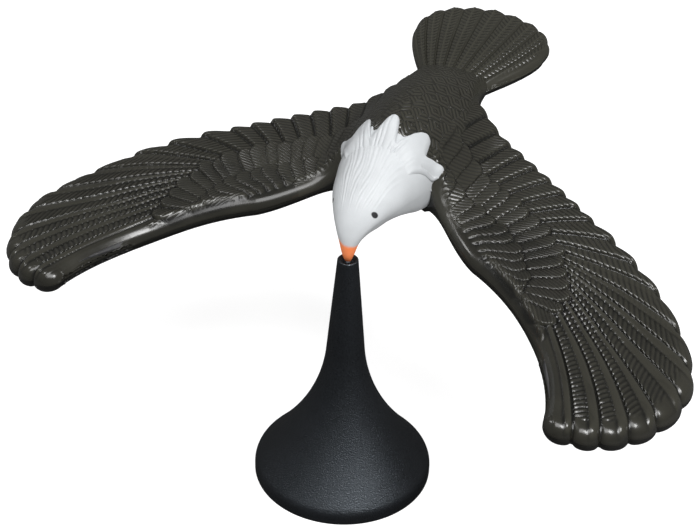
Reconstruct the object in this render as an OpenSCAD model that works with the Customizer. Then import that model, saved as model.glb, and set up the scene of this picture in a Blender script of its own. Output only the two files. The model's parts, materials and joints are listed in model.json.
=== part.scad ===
// Counterweight balancing toy: an eagle that hovers on the point of its beak.
// The stand's base lies on Z = 0, its axis is the Z axis and the bird looks along -Y.

/* [Stand] */
// Height of the stand, from the table to the top of its rim
stand_h = 70.7; // [64:0.1:90]
// Diameter of the base
base_d = 49; // [46:0.5:58]
// Height of the upright edge round the base
base_edge_h = 3.4; // [2.4:0.2:5]
// Diameter of the neck just under the rim
neck_d = 5.6; // [5.4:0.1:6.6]
// Diameter where the neck starts to flare
flare_d = 10.4; // [9:0.2:12]
// Height where the neck starts to flare
flare_z = 41.6; // [36:0.2:46]
// Slope of the flare where it meets the base edge, in degrees
flare_slope = 48; // [42:1:54]
// Wall thickness of the stand
stand_wall = 1.6; // [1.2:0.1:2]
// Depth from the rim down to the pivot point
rim_rise = 0.7; // [0.6:0.1:0.9]

/* [Pivot] */
// Diameter of the pin's ball end
ball_d = 1.6; // [1.4:0.1:1.8]
// Diameter of the pin in the beak
pin_d = 1.2; // [1:0.1:1.3]
// Length of the pin
pin_l = 5; // [4:0.5:6]
// Running clearance round the ball and the pin
run_clear = 0.05; // [0.02:0.01:0.08]

/* [Bird] */
// Wall thickness of the two half shells
shell_wall = 1.1; // [1:0.1:1.4]
// Width of the bonded seam between the half shells
seam = 0.1; // [0.06:0.02:0.16]
// Height of the seam above the pivot, at the beak
seam_rise = 4.6; // [4.2:0.2:5.4]
// How far the seam climbs towards the tail, in degrees
seam_pitch = 9.1; // [8:0.1:10]
// How far the wings droop, in degrees
wing_droop = 8.3; // [7:0.1:10]
// Height of the back's arch above the wings
back_h = 15.5; // [12:0.5:17]
// Half width of the back's arch
back_w = 23; // [20:0.5:25]
// Depth of the belly below the wings
belly_h = 7; // [5:0.5:9]

/* [Wings] */
// Reach of a wing from the middle of the bird to its feather notches
wing_reach = 92.5; // [86:0.5:98]
// How far the wing tip sweeps forward of the pivot
wing_sweep = 36; // [32:1:40]
// Half thickness of the wing at its root
wing_root_t = 2.7; // [2.5:0.1:3.2]
// Half thickness of the wing at its tip
wing_tip_t = 3.7; // [3.4:0.1:4.1]
// Number of short feathers along the inner trailing edge
short_feathers = 9; // [7:1:11]
// Number of long feathers round the tip
long_feathers = 11; // [9:1:13]
// Height of the ridge along a long feather
feather_ridge = 0.9; // [0.4:0.1:1.2]
// How far a long feather's end bulges past its notches
feather_bulge = 1.6; // [1:0.1:2]
// Height of the covert feathers' ends above the quills that they lie over
covert_lift = 0.8; // [0.4:0.1:1]

/* [Tail] */
// Reach of the tail behind the pivot
tail_reach = 107; // [100:1:114]
// Half angle of the tail's fan, in degrees
tail_angle = 34; // [30:1:36]
// Half thickness of the tail
tail_t = 2.5; // [2.3:0.1:3]
// Number of tail feathers
tail_feathers = 11; // [9:2:13]
// Height of the ridge along a tail feather
tail_ridge = 0.6; // [0.3:0.1:0.8]

/* [Weights] */
// Number of feather pairs that a weight lies under, counted from the wing's tip
weight_pairs = 3; // [2:1:4]
// Clearance round a weight in its wing
weight_clear = 0.12; // [0.1:0.01:0.3]

/* [Hidden] */
pivot_z = stand_h - rim_rise;
bird_brown = [0.23, 0.23, 0.20];
round_fn = 64;

// Small curves and blends
function mix(a, b, t) = a + (b - a) * t;
function clamp01(t) = max(0, min(1, t));
function ease(a, b, x) = let (t = clamp01((x - a) / (b - a))) t * t * (3 - 2 * t);
function bezier(p, t) =
    pow(1 - t, 3) * p[0] + 3 * pow(1 - t, 2) * t * p[1] + 3 * (1 - t) * t * t * p[2] + pow(t, 3) * p[3];
function unit(v) = v / norm(v);
function bell(u) = abs(u) < 1 ? pow(1 - u * u, 2) : 0;

// The seam surface that the two half shells meet on, measured from the pivot
wrist_x = 46;
level_x = 67;
level_out = 3;
tail_y = 76;
tail_blend = 12;
tail_flat = 0.6;
function seam_z(x, y) =
    let (reach = abs(x),
         droop = tan(wing_droop) * (1 - tail_flat * ease(tail_y - tail_blend, tail_y, y)),
         level = y > 0 ? ease(level_x, wing_reach + level_out, reach) : ease(wrist_x, level_x, reach))
    seam_rise - droop * reach + tan(seam_pitch) * y * (1 - level);

// Wing outline: the shoulder, the rump, the tip's front corner and the hand's rear corner
shoulder = [13, 20];
rump = [10.5, 66];
corner_in = 27.5;
corner = [wing_reach - corner_in, -wing_sweep];
front_bend = [31, 8.6];
front_hold = [-5, 26];
front_root = [shoulder, [19, 19.5], [24, 12.2], front_bend];
front_tip = [front_bend, [45.5, 3.4], corner + front_hold, corner];
hand_in = 21;
hand = [wing_reach - hand_in, 27];
hand_hold = [10, -5.5];
widest = [wing_reach, -6];
rear_straight = [rump, [28, 53], [54, 40], hand];
rear_shoulder = [hand, hand + hand_hold, [wing_reach, 7], widest];
rear_tip = [widest, [wing_reach, -22], [wing_reach - 12, corner[1] - 3], corner];
front_split = 0.25;
rear_splits = [0.46, 0.72];
function front_edge(t) =
    t < front_split ? bezier(front_root, t / front_split)
    : bezier(front_tip, (t - front_split) / (1 - front_split));
function rear_edge(s) =
    s < rear_splits[0] ? bezier(rear_straight, s / rear_splits[0])
    : s < rear_splits[1] ? bezier(rear_shoulder, (s - rear_splits[0]) / (rear_splits[1] - rear_splits[0]))
    : bezier(rear_tip, (s - rear_splits[1]) / (1 - rear_splits[1]));
small_step = 0.004;
function square_to(d) = unit([-d[1], d[0]]);
function rear_normal(s) = square_to(rear_edge(min(1, s + small_step)) - rear_edge(max(0, s - small_step)));
function front_normal(t) = square_to(front_edge(min(1, t + small_step)) - front_edge(max(0, t - small_step)));
// Long feathers fan out of the wrist, so their front ends bunch up there
fan = [[0, 0], [0.34, 0.33], [0.6, 0.55], [0.8, 0.625], [0.9, 0.685], [0.96, 0.745], [1, 1]];

// Relative feather widths along the rear edge, widest round the tip, and the notches between them
feathers = short_feathers + long_feathers;
short_width = 5.9;
narrow_width = 2.2;
wide_gain = 10.3;
wide_lead = 3.2;
wide_trail = 0.5;
function feather_width(k) =
    k < short_feathers ? short_width
    : narrow_width + wide_gain * sin(180 * (k - short_feathers + wide_lead)
                                     / (long_feathers + wide_lead + wide_trail));
function total(list) = [for (v = list) 1] * list;
function width_before(k) = k < 1 ? 0 : total([for (i = [0 : k - 1]) feather_width(i)]);
function notch(k) = width_before(k) / width_before(feathers);

// Two rows of coverts lie over the quills: where their ends cross a chord, as a share of its length
first_row = [[0, 0.24], [0.2, 0.38], [0.27, 0.375], [0.45, 0.19], [0.56, 0], [1, 0]];
second_row = [[0, 0.53], [0.25, 0.65], [0.35, 0.61], [0.5, 0.4], [0.6, 0.24], [0.8, 0.11], [0.92, 0], [1, 0]];
covert_scallop = 1.5;
covert_step = 0.5;
covert_root = 0.25;
covert_fade = [0.03, 0.12];
quill_stop = 0.6;

// One chord of the wing, from its front edge to its rear edge:
// [front, rear, ridge, rear thickness share, ends of the first and second covert, their lifts]
// Walls above 0 are the cavity inside, which has no feather ends or ridges
last_chord = 0.992;
short_end_share = 0.85;
short_ridge_share = 0.6;
ridge_valley = 0.6;
swell_power = 0.6;
rear_wall_share = 1.4;
half_way = [0.4, 0.75];
function chord(k, u, wall) =
    let (s = min(last_chord, mix(notch(k), notch(k + 1), u)),
         long = k >= short_feathers,
         arch = 4 * u * (1 - u),
         swell = wall > 0 ? 0 : pow(arch, swell_power) * (long ? feather_bulge : feather_bulge / 2),
         t = lookup(s, fan),
         front = front_edge(t) + front_normal(t) * wall,
         tip = rear_edge(s) + rear_normal(s) * swell,
         along = unit(tip - front),
         ridge = wall > 0 ? 0 : feather_ridge * (long ? 1 : short_ridge_share) * (sqrt(arch) - ridge_valley))
    [front, tip - along * wall * rear_wall_share, ridge,
     mix(short_end_share, 1, ease(half_way[0], half_way[1], s)),
     covert_ends(s, norm(tip - front), sqrt(arch)), covert_lifts(s)];
function covert_ends(s, len, arch) =
    [for (row = [first_row, second_row]) lookup(s, row) * len + covert_scallop * (arch - 0.5)];
function covert_lifts(s) =
    [for (row = [first_row, second_row]) covert_lift * ease(covert_fade[0], covert_fade[1], lookup(s, row))];
// Chords across the back, between the middle of the bird and the wing's root
back_steps = [-0.4, 3.5, 7];
rump_reach = 74;
nape_lap = 2;
function back_chord(x, wall) =
    let (front = shoulder[1] - nape_lap, rear = mix(rump_reach, rump[1], x / rump[0]))
    [[x, front + wall], [x, rear - wall], 0, short_end_share, covert_ends(0, rear - front, 0.5), [0, 0]];
short_steps = 3;
long_steps = 4;
function feather_steps(k) = k < short_feathers ? short_steps : long_steps;
outer_chords = concat(
    [for (x = back_steps) back_chord(x, 0)],
    [for (k = [0 : feathers - 1]) for (j = [0 : feather_steps(k) - 1]) chord(k, j / feather_steps(k), 0)],
    [chord(feathers - 1, 1, 0)]);
// Chords of the cavity, two feathers apart, counted from the tip
pair_starts = [for (k = [2 - feathers % 2 : 2 : feathers - 1]) k];
cavity_end = 0.4;
weight_end = 0.34;
function tip_chords(wall, pairs, end) = concat(
    [for (k = pair_starts) if (k >= feathers - 2 * pairs) chord(k, 0, wall)],
    [chord(feathers - 1, end, wall)]);
function cavity_chords(wall) = concat(
    [for (x = back_steps) back_chord(x, wall)], [chord(0, 0, wall)], tip_chords(wall, feathers, cavity_end));

// Edges are full rounds with a small upright land at the seam
edge_land = 0.2;
function edge_round(d, r) = edge_land + (1 - edge_land) * sqrt(1 - pow(1 - clamp01(d / r), 2));
function wing_t(x) = mix(wing_root_t, wing_tip_t, clamp01(abs(x) / wing_reach));
// The underside is flatter than the top
under_share = 0.85;
function half_share(side) = side > 0 ? 1 : under_share;
// The back arches up from a crest behind the nape and dips at the shoulders
// The belly hangs under the middle of the body
crest_y = 28;
crest_ahead = 20;
crest_behind = 49;
back_fall = 1.05;
shoulder_x = [9, 14];
shoulder_y = [19, 29];
function hump(u) = max(0, 1 - u * u);
function shoulder_dip(x, y) =
    1 - ease(shoulder_x[0], shoulder_x[1], abs(x)) * (1 - ease(shoulder_y[0], shoulder_y[1], y));
function back_rise(x, y) =
    back_h * bell(x / back_w) * shoulder_dip(x, y)
    * (y > crest_y ? pow(hump((y - crest_y) / crest_behind), back_fall) : hump((y - crest_y) / crest_ahead));
belly_y = 43;
belly_half = 29;
belly_inset = 4;
belly_fall = 1.2;
function belly_drop(x, y) =
    belly_h * bell(x / (back_w - belly_inset)) * pow(hump((y - belly_y) / belly_half), belly_fall);
// Distances of the grid points along a chord, closer together at the rounded edges of the outside
edge_part = 0.45;
edge_stop = 0.2;
function stops(len, r, inner, wall) =
    let (q = min(r, len * edge_part), near = wall > 0 ? [] : [edge_stop * q])
    concat([0], near, [q],
           [for (i = [1 : inner]) mix(q, len - q, i / (inner + 1))],
           [len - q], [for (d = near) len - d], [len]);
// The wing's top has a point on each side of a covert's end, so that the covert steps down to the next row
function covert_stops(len, r, ends) =
    let (q = min(r, len * edge_part),
         last = len - q,
         first = min(max(ends[0], q + covert_step), last - 4 * covert_step),
         second = min(max(ends[1], first + 2 * covert_step), last - 2 * covert_step))
    [0, edge_stop * q, q, first, first + covert_step, second, second + covert_step,
     mix(second + covert_step, last, quill_stop), last, len - edge_stop * q, len];
// Heights of the coverts at the first of these points, and the quills come after them
function covert_heights(lifts) = [0, 0, 0, lifts[0], covert_root * lifts[1], lifts[1]];

// A wing half as a grid of points: side is 1 for the upper half and -1 for the lower one
function wing_points(side, rows, inner, wall) = [
    for (c = rows)
        let (len = norm(c[1] - c[0]), way = unit(c[1] - c[0]), mid = mix(c[0], c[1], 0.5),
             r = min(wing_t(mid[0]) * half_share(side) - wall, len * edge_part),
             top = side > 0 && wall == 0,
             coverts = top ? covert_heights(c[5]) : [],
             far = top ? covert_stops(len, r, c[4]) : stops(len, r, inner, wall))
        [for (j = [0 : len(far) - 1])
            let (d = far[j], p = c[0] + way * d,
                 t = wing_t(p[0]) * half_share(side) * mix(1, c[3], d / len) - wall,
                 covered = j < len(coverts),
                 ridge = top && !covered ? c[2] * ease(half_way[0], half_way[1], d / len) : 0,
                 rise = side > 0 ? back_rise(p[0], p[1]) + (covered ? coverts[j] : 0)
                        : belly_drop(p[0], p[1]),
                 h = t * edge_round(min(d, len - d), r) * (1 + ridge / t) + rise)
            [p[0], p[1], seam_z(p[0], p[1]) + side * h]]];
// The flat side on the seam needs only a few points along each chord
seam_shares = [0, 0.4, 0.75, 0.9, 1];
function on_seam(grid, offset) = [
    for (row = grid)
        let (last = row[len(row) - 1])
        [for (share = seam_shares)
            let (p = mix(row[0], last, share)) [p[0], p[1], seam_z(p[0], p[1]) + offset]]];

// Closed solid between two grids with the same number of rows, the first one above the second
// Each end is a fan of triangles about a point in the middle of the lower grid's last row
module slab(top, under) {
    n = len(top);
    m = len(top[0]);
    w = len(under[0]);
    c = floor(w / 2);
    points = concat([for (row = top) each row], [for (row = under) each row]);
    function up(i, j) = i * m + j;
    function low(i, j) = n * m + i * w + j;
    faces = concat(
        [for (i = [0 : n - 2]) for (j = [0 : m - 2]) each
            [[up(i, j), up(i, j + 1), up(i + 1, j + 1)], [up(i, j), up(i + 1, j + 1), up(i + 1, j)]]],
        [for (i = [0 : n - 2]) for (j = [0 : w - 2]) each
            [[low(i, j), low(i + 1, j + 1), low(i, j + 1)], [low(i, j), low(i + 1, j), low(i + 1, j + 1)]]],
        [for (i = [0 : n - 2]) each
            [[up(i, 0), up(i + 1, 0), low(i + 1, 0)], [up(i, 0), low(i + 1, 0), low(i, 0)],
             [up(i, m - 1), low(i + 1, w - 1), up(i + 1, m - 1)],
             [up(i, m - 1), low(i, w - 1), low(i + 1, w - 1)]]],
        [for (j = [0 : m - 2]) each
            [[low(0, c), up(0, j + 1), up(0, j)], [low(n - 1, c), up(n - 1, j), up(n - 1, j + 1)]]],
        [[low(0, c), up(0, 0), low(0, 0)], [low(0, c), low(0, w - 1), up(0, m - 1)],
         [low(n - 1, c), low(n - 1, 0), up(n - 1, 0)], [low(n - 1, c), up(n - 1, m - 1), low(n - 1, w - 1)]],
        [for (j = [0 : w - 2]) if (j != c && j != c - 1) each
            [[low(0, c), low(0, j), low(0, j + 1)], [low(n - 1, c), low(n - 1, j + 1), low(n - 1, j)]]]);
    polyhedron(points, faces);
}

// A half shell's outside ends at the seam, and its cavity runs on through it
cavity_lap = 1;
module half_slab(side, grid, wall) {
    flat = on_seam(grid, side * (wall > 0 ? -cavity_lap : seam / 2));
    if (side > 0) slab(grid, flat);
    else slab(flat, grid);
}
under_columns = 2;
cavity_columns = 3;
module wing_half(side) {
    half_slab(side, wing_points(side, outer_chords, under_columns, 0), 0);
}
module wing_cavity(side) {
    half_slab(side, wing_points(side, cavity_chords(shell_wall), cavity_columns, shell_wall), shell_wall);
}

// Tail: a fan about a point in the rump, with feather ends round its rim
fan_y = 58;
tail_root = 8;
tail_side = 20;
rim_square = 4;
rim_power = 0.4;
tail_scallop = 1.2;
flank_square = 6;
function tail_rim(a) =
    let (round_off = pow(max(0, 1 - pow(abs(a) / tail_angle, rim_square)), rim_power))
    mix(tail_side, tail_reach - fan_y, round_off);
// Feathers get narrower towards the flanks: share runs from -1 at one flank to 1 at the other
flank_crowd = 0.4;
ridge_start = [0.15, 0.5];
function tail_turn(share) = mix(share, sin(90 * share), flank_crowd);
function tail_arch(share) = abs(sin(90 * tail_feathers * (share + 1)));
tail_columns = 2;
function tail_points(side, steps, wall) =
    let (edge = tail_angle * (1 - wall / tail_side), n = tail_feathers * steps)
    [for (i = [0 : n])
        let (share = 2 * i / n - 1,
             a = edge * tail_turn(share),
             rim = tail_rim(a) + (wall > 0 ? -wall : tail_scallop * pow(tail_arch(share), swell_power)),
             flank = edge_land + (1 - edge_land) * sqrt(1 - pow(abs(a) / edge, flank_square)),
             t = tail_t - wall,
             ridge = side > 0 && wall == 0 ? tail_ridge * (tail_arch(share) - ridge_valley) : 0)
        [for (d = stops(rim - tail_root, t, tail_columns, wall))
            let (p = [sin(a) * (tail_root + d), fan_y + cos(a) * (tail_root + d)],
                 raised = ridge * ease(ridge_start[0], ridge_start[1], d / (rim - tail_root)),
                 h = (t + raised) * flank * edge_round(rim - tail_root - d, t))
            [p[0], p[1], seam_z(p[0], p[1]) + side * h]]];
module tail_half(side, steps, wall) {
    half_slab(side, tail_points(side, steps, wall), wall);
}

// Head: sections from the beak's end to the nape, each [crown, side, half width, throat]
head_sections = [
    [[-0.95, 0.9], [0, 0.85], 1, [0.95, 0.9]],
    [[-1.7, 3], [0.1, 3], 1.8, [2, 3]],
    [[-1.9, 5.7], [0.4, 5.7], 2.6, [3.4, 5.2]],
    [[-1.4, 8.6], [1.2, 8], 3.7, [5.2, 6.4]],
    [[0.4, 12], [3.2, 10.1], 5.4, [8, 6.6]],
    [[3.4, 15.4], [6.4, 11.5], 7.4, [11.5, 6]],
    [[7.6, 18.3], [10.5, 12.2], 9.3, [15, 4.8]],
    [[13, 21], [15.5, 12.3], 10.8, [19, 3.4]],
    [[20, 24.4], [21.5, 12], 12.4, [24, 2.6]],
    [[27.5, 26.4], [28, 11.2], 12.6, [30, 2.4]],
    [[33, 25.4], [34, 11.2], 11, [35, 4.4]]];
head_sides = 28;
function head_ring(s, wall) = [
    for (i = [0 : head_sides - 1])
        let (a = 360 * i / head_sides,
             reach = sin(a) > 0 ? s[0] - s[1] : s[3] - s[1],
             arm = reach * (1 - wall / norm(reach)))
        [(s[2] - wall) * cos(a), s[1][0] + arm[0] * abs(sin(a)), s[1][1] + arm[1] * abs(sin(a))]];
module head_solid(first, wall) {
    count = len(head_sections) - first;
    points = [for (i = [first : len(head_sections) - 1]) each head_ring(head_sections[i], wall)];
    function at(i, j) = i * head_sides + j % head_sides;
    faces = concat(
        [[for (j = [head_sides - 1 : -1 : 0]) at(0, j)]],
        [[for (j = [0 : head_sides - 1]) at(count - 1, j)]],
        [for (i = [0 : count - 2]) for (j = [0 : head_sides - 1]) each
            [[at(i, j), at(i + 1, j + 1), at(i + 1, j)], [at(i, j), at(i, j + 1), at(i + 1, j + 1)]]]);
    polyhedron(points, faces);
}

// Hackle: the long neck feathers come out of the nape and lie on the back in five lobes
// Ends of the lobes, notches between them, and starts, as [distance from the middle, distance behind]
hackle_ends = [[0, 30.6], [3.4, 22.8], [6.5, 28.5], [9.3, 32.6], [11.7, 26.6], [13.5, 31], [14.6, 28.5]];
hackle_starts = [[0, 18.5], [11, 19.5], [13, 24], [15, 26]];
hackle_lift = 0.9;
hackle_rise = [[0, -1], [0.35, hackle_lift], [1, hackle_lift]];
hackle_deep = 3;
function back_top(x, y) = seam_z(x, y) + wing_t(x) + back_rise(x, y);
function hackle_y(x, share) = mix(lookup(abs(x), hackle_starts), lookup(abs(x), hackle_ends), share);
module hackle() {
    count = len(hackle_ends);
    across = [for (i = [1 - count : count - 1]) sign(i) * hackle_ends[abs(i)][0]];
    top = [for (x = across) [for (r = hackle_rise)
        let (y = hackle_y(x, r[0])) [x, y, back_top(x, y) + r[1]]]];
    under = [for (x = across) [for (r = hackle_rise)
        let (y = hackle_y(x, r[0])) [x, y, back_top(x, y) - hackle_deep]]];
    slab(top, under);
}

// Everything above the seam, or below it, near the head: the beak stays whole in the upper half
beak_ends = [4, 8];
beak_drop = 12;
block_w = 40;
block_h = 60;
seam_steps_y = [-block_w / 2, beak_ends[0], beak_ends[1], 14, block_h];
seam_steps_x = [-block_w, 0, block_w];
// The neck's flat side lies a little off the wings' flat sides
neck_step = 0.03;
function throat_z(x, y) = seam_z(x, y) - beak_drop * (1 - ease(beak_ends[0], beak_ends[1], y));
module seam_block(side) {
    skin = [for (y = seam_steps_y) [for (x = seam_steps_x) [x, y, throat_z(x, y) + side * (seam / 2 + neck_step)]]];
    far = [for (y = seam_steps_y) [for (x = seam_steps_x) [x, y, side * block_h]]];
    if (side > 0) slab(skin, far);
    else slab(far, skin);
}

module both_wings() {
    children();
    mirror([1, 0, 0]) children();
}

cheek_section = 5;
module bird_half(side) {
    difference() {
        union() {
            both_wings() wing_half(side);
            tail_half(side, short_steps, 0);
            intersection() {
                head_solid(0, 0);
                seam_block(side);
            }
            if (side > 0) hackle();
        }
        both_wings() wing_cavity(side);
        tail_half(side, 1, shell_wall);
        head_solid(cheek_section, shell_wall);
    }
}

// Trumpet stand, turned round its axis, hollow below the neck and with a cup in its top
flare_points = 20;
neck_pull = 16;
edge_pull = 13;
function flare_curve(edge_r, edge_z, top_r, top_z) =
    let (down = unit([top_r - neck_d / 2, top_z - pivot_z]))
    [for (i = [0 : flare_points]) bezier(
        [[top_r, top_z], [top_r, top_z] + down * neck_pull,
         [edge_r - edge_pull * cos(flare_slope), edge_z + edge_pull * sin(flare_slope)], [edge_r, edge_z]],
        i / flare_points)];
cup_slope = 54;
cup_deep = (ball_d / 2 + run_clear) / sin(cup_slope);
cup_r = (rim_rise + cup_deep) * tan(cup_slope);
rim_r = neck_d / 2 - cup_r;
module stand_shell() {
    outer = flare_curve(base_d / 2, base_edge_h, flare_d / 2, flare_z);
    inner = flare_curve(base_d / 2 - stand_wall, base_edge_h - stand_wall / 2,
                        flare_d / 2 - stand_wall, flare_z - stand_wall);
    color([0.11, 0.11, 0.12])
    rotate_extrude($fn = 2 * round_fn)
    polygon(concat(
        [[0, pivot_z - cup_deep], [cup_r, stand_h]],
        [for (a = [75 : -15 : 0]) [neck_d / 2 - rim_r + rim_r * cos(a), stand_h - rim_r + rim_r * sin(a)]],
        outer,
        [[base_d / 2, 0], [base_d / 2 - stand_wall, 0]],
        [for (i = [flare_points : -1 : 0]) inner[i]],
        [[0, flare_z - stand_wall]]));
}

module pivot_ball() {
    color("silver")
    translate([0, 0, pivot_z]) sphere(d = ball_d, $fn = round_fn);
}

pin_z = ball_d / 2 + run_clear;
module pivot_pin() {
    color("silver")
    translate([0, 0, pivot_z + pin_z]) cylinder(d = pin_d, h = pin_l, $fn = round_fn);
}

module upper_shell() {
    color(bird_brown)
    translate([0, 0, pivot_z])
    difference() {
        bird_half(1);
        cylinder(d = pin_d + 2 * run_clear, h = pin_z + pin_l + run_clear, $fn = round_fn);
    }
}

module lower_shell() {
    color(bird_brown)
    translate([0, 0, pivot_z]) bird_half(-1);
}

// A weight fills the wing tip's cavity under the long feathers, clear of the walls all round
weight_gap = shell_wall + weight_clear;
function weight_points(side) =
    wing_points(side, tip_chords(weight_gap, weight_pairs, weight_end), cavity_columns, weight_gap);
module weight() {
    color("dimgray")
    translate([0, 0, pivot_z]) slab(weight_points(1), weight_points(-1));
}
module left_wing_weight() {
    weight();
}
module right_wing_weight() {
    mirror([1, 0, 0]) weight();
}

stand_shell();
pivot_ball();
pivot_pin();
upper_shell();
lower_shell();
left_wing_weight();
right_wing_weight();
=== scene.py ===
import json
import bpy
import numpy as np
from mathutils import Matrix, Vector, kdtree
from mathutils.bvhtree import BVHTree


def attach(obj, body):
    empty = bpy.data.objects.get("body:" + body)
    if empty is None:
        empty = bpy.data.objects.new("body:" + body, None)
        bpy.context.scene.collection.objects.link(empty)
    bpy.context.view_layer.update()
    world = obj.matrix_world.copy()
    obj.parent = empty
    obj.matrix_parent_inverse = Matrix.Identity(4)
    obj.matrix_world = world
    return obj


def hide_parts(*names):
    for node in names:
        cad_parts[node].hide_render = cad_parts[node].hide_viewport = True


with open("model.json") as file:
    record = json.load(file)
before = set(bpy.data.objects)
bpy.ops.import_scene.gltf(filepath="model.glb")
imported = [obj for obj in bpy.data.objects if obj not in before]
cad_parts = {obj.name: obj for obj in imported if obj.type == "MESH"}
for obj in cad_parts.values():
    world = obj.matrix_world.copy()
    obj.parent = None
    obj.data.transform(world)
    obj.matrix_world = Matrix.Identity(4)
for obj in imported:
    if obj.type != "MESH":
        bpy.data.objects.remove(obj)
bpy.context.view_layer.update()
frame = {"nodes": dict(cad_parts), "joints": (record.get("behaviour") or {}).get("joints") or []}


# Stand: one black plastic moulding in the shape of a trumpet bell, hollow and open underneath.
# It is round about its axis, with an upright edge at the foot and a small cup in its rim for the beak's pin.
def put(tree, kind, inputs=(), **settings):
    node = tree.nodes.new(kind)
    for key, value in settings.items():
        setattr(node, key, value)
    for socket, value in dict(inputs).items():
        if isinstance(value, bpy.types.NodeSocket):
            tree.links.new(value, node.inputs[socket])
        else:
            node.inputs[socket].default_value = value
    return node


def start_tree(name, kind, inputs, outputs):
    tree = bpy.data.node_groups.new(name, kind)
    for label, socket in inputs:
        tree.interface.new_socket(label, in_out="INPUT", socket_type=socket)
    for label, socket in outputs:
        tree.interface.new_socket(label, in_out="OUTPUT", socket_type=socket)
    return tree, put(tree, "NodeGroupInput"), put(tree, "NodeGroupOutput")


def math(tree, operation, a, b=0.0):
    return put(tree, "ShaderNodeMath", {0: a, 1: b}, operation=operation).outputs[0]


def shaped(name, mesh, tree, values):
    """Runs a geometry tree on a mesh once and returns the plain mesh object that it makes."""
    source = bpy.data.objects.new(name + "_blank", mesh)
    bpy.context.scene.collection.objects.link(source)
    modifier = source.modifiers.new("shape", "NODES")
    modifier.node_group = tree
    for item in tree.interface.items_tree:
        if item.item_type == "SOCKET" and item.in_out == "INPUT" and item.name in values:
            modifier[item.identifier] = values[item.name]
    bpy.context.view_layer.update()
    seen = source.evaluated_get(bpy.context.evaluated_depsgraph_get())
    made = bpy.data.meshes.new_from_object(seen)
    source.modifiers.clear()
    bpy.data.objects.remove(source)
    made.name = name
    piece = bpy.data.objects.new(name, made)
    bpy.context.scene.collection.objects.link(piece)
    return piece


def curve(points, t):
    p = np.array(points, float)
    t = np.asarray(t, float)[..., None]
    return (1 - t) ** 3 * p[0] + 3 * (1 - t) ** 2 * t * p[1] + 3 * (1 - t) * t * t * p[2] + t ** 3 * p[3]


def softened(before, corner, after, reach):
    before, corner, after = (np.array(p, float) for p in (before, corner, after))
    a = corner + (before - corner) / np.linalg.norm(before - corner) * reach
    b = corner + (after - corner) / np.linalg.norm(after - corner) * reach
    return [(1 - t) ** 2 * a + 2 * t * (1 - t) * corner + t * t * b for t in np.linspace(0, 1, 7)]


mm = 0.001
pivot_height = frame["joints"][0]["pos_m"][2] / mm
stand_height = 70.7
neck_radius = 2.8
cup_half_angle = np.radians(54)
cup_bottom = pivot_height - 0.85 / np.sin(cup_half_angle)
cup_radius = (stand_height - cup_bottom) * np.tan(cup_half_angle)
lip = neck_radius - cup_radius
flare_top = np.array([5.2, 41.6])
foot_radius = 24.5
foot_edge = 3.4
foot_slope = np.radians(48)
wall = 1.6


def bell_curve(top, foot):
    down = top - np.array([neck_radius, pivot_height])
    hold = foot + 13 * np.array([-np.cos(foot_slope), np.sin(foot_slope)])
    return list(curve([top, top + 16 * down / np.linalg.norm(down), hold, foot], np.linspace(0, 1, 60)))


outside = bell_curve(flare_top, np.array([foot_radius, foot_edge]))
inside = bell_curve(flare_top - wall, np.array([foot_radius - wall, foot_edge - wall / 2]))
cup = [[0, cup_bottom], [cup_radius / 2, (cup_bottom + stand_height) / 2],
       [cup_radius - 0.05, stand_height - 0.04]]
rim_turn = np.linspace(np.pi / 2, 0, 9)
rim = [[neck_radius - lip + lip * np.cos(a), stand_height - lip + lip * np.sin(a)] for a in rim_turn]
neck_top = np.array([neck_radius, stand_height - lip])
neck = [neck_top + (flare_top - neck_top) * t for t in np.linspace(0.04, 0.96, 24)]
edge_top = [foot_radius, foot_edge]
edge_foot = [foot_radius, 0]
sole = [foot_radius - wall, 0]
profile = (cup + rim + neck + outside[:-4]
           + softened(outside[-6], edge_top, edge_foot, 1.5)
           + softened(edge_top, edge_foot, sole, 0.25)
           + softened(edge_foot, sole, inside[-1], 0.2)
           + inside[::-1] + [[0, flare_top[1] - wall]])
line = bpy.data.meshes.new("stand_profile")
profile_edges = [(i, i + 1) for i in range(len(profile) - 1)]
line.from_pydata([(r * mm, 0, z * mm) for r, z in profile], profile_edges, [])


def dress(tree, geometry, given, made):
    """Ends a geometry tree: makes everything real and gives it the material that was asked for."""
    real = put(tree, "GeometryNodeRealizeInstances", {0: geometry})
    material = given.outputs["Material"]
    dressed = put(tree, "GeometryNodeSetMaterial", {0: real.outputs[0], "Material": material})
    tree.links.new(dressed.outputs[0], made.inputs[0])


turning, given, made = start_tree(
    "turned_on_axis", "GeometryNodeTree",
    [("Profile", "NodeSocketGeometry"), ("Segments", "NodeSocketInt"), ("Material", "NodeSocketMaterial")],
    [("Geometry", "NodeSocketGeometry")])
count = put(turning, "GeometryNodeAttributeDomainSize", {0: given.outputs["Profile"]}).outputs["Point Count"]
rings = math(turning, "ADD", given.outputs["Segments"], 1.0)
net = put(turning, "GeometryNodeMeshGrid", {"Vertices X": rings, "Vertices Y": count})
index = put(turning, "GeometryNodeInputIndex").outputs[0]
along = math(turning, "MODULO", index, count)
angle = math(turning, "MULTIPLY", math(turning, "FLOOR", math(turning, "DIVIDE", index, count)), 2 * np.pi)
angle = math(turning, "DIVIDE", angle, given.outputs["Segments"])
place = put(turning, "GeometryNodeSampleIndex", data_type="FLOAT_VECTOR", domain="POINT")
turning.links.new(given.outputs["Profile"], place.inputs["Geometry"])
turning.links.new(put(turning, "GeometryNodeInputPosition").outputs[0], place.inputs["Value"])
turning.links.new(along, place.inputs["Index"])
parts = put(turning, "ShaderNodeSeparateXYZ", {0: place.outputs[0]})
spot = put(turning, "ShaderNodeCombineXYZ", {
    0: math(turning, "MULTIPLY", parts.outputs[0], math(turning, "COSINE", angle)),
    1: math(turning, "MULTIPLY", parts.outputs[0], math(turning, "SINE", angle)),
    2: parts.outputs[2]})
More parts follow.
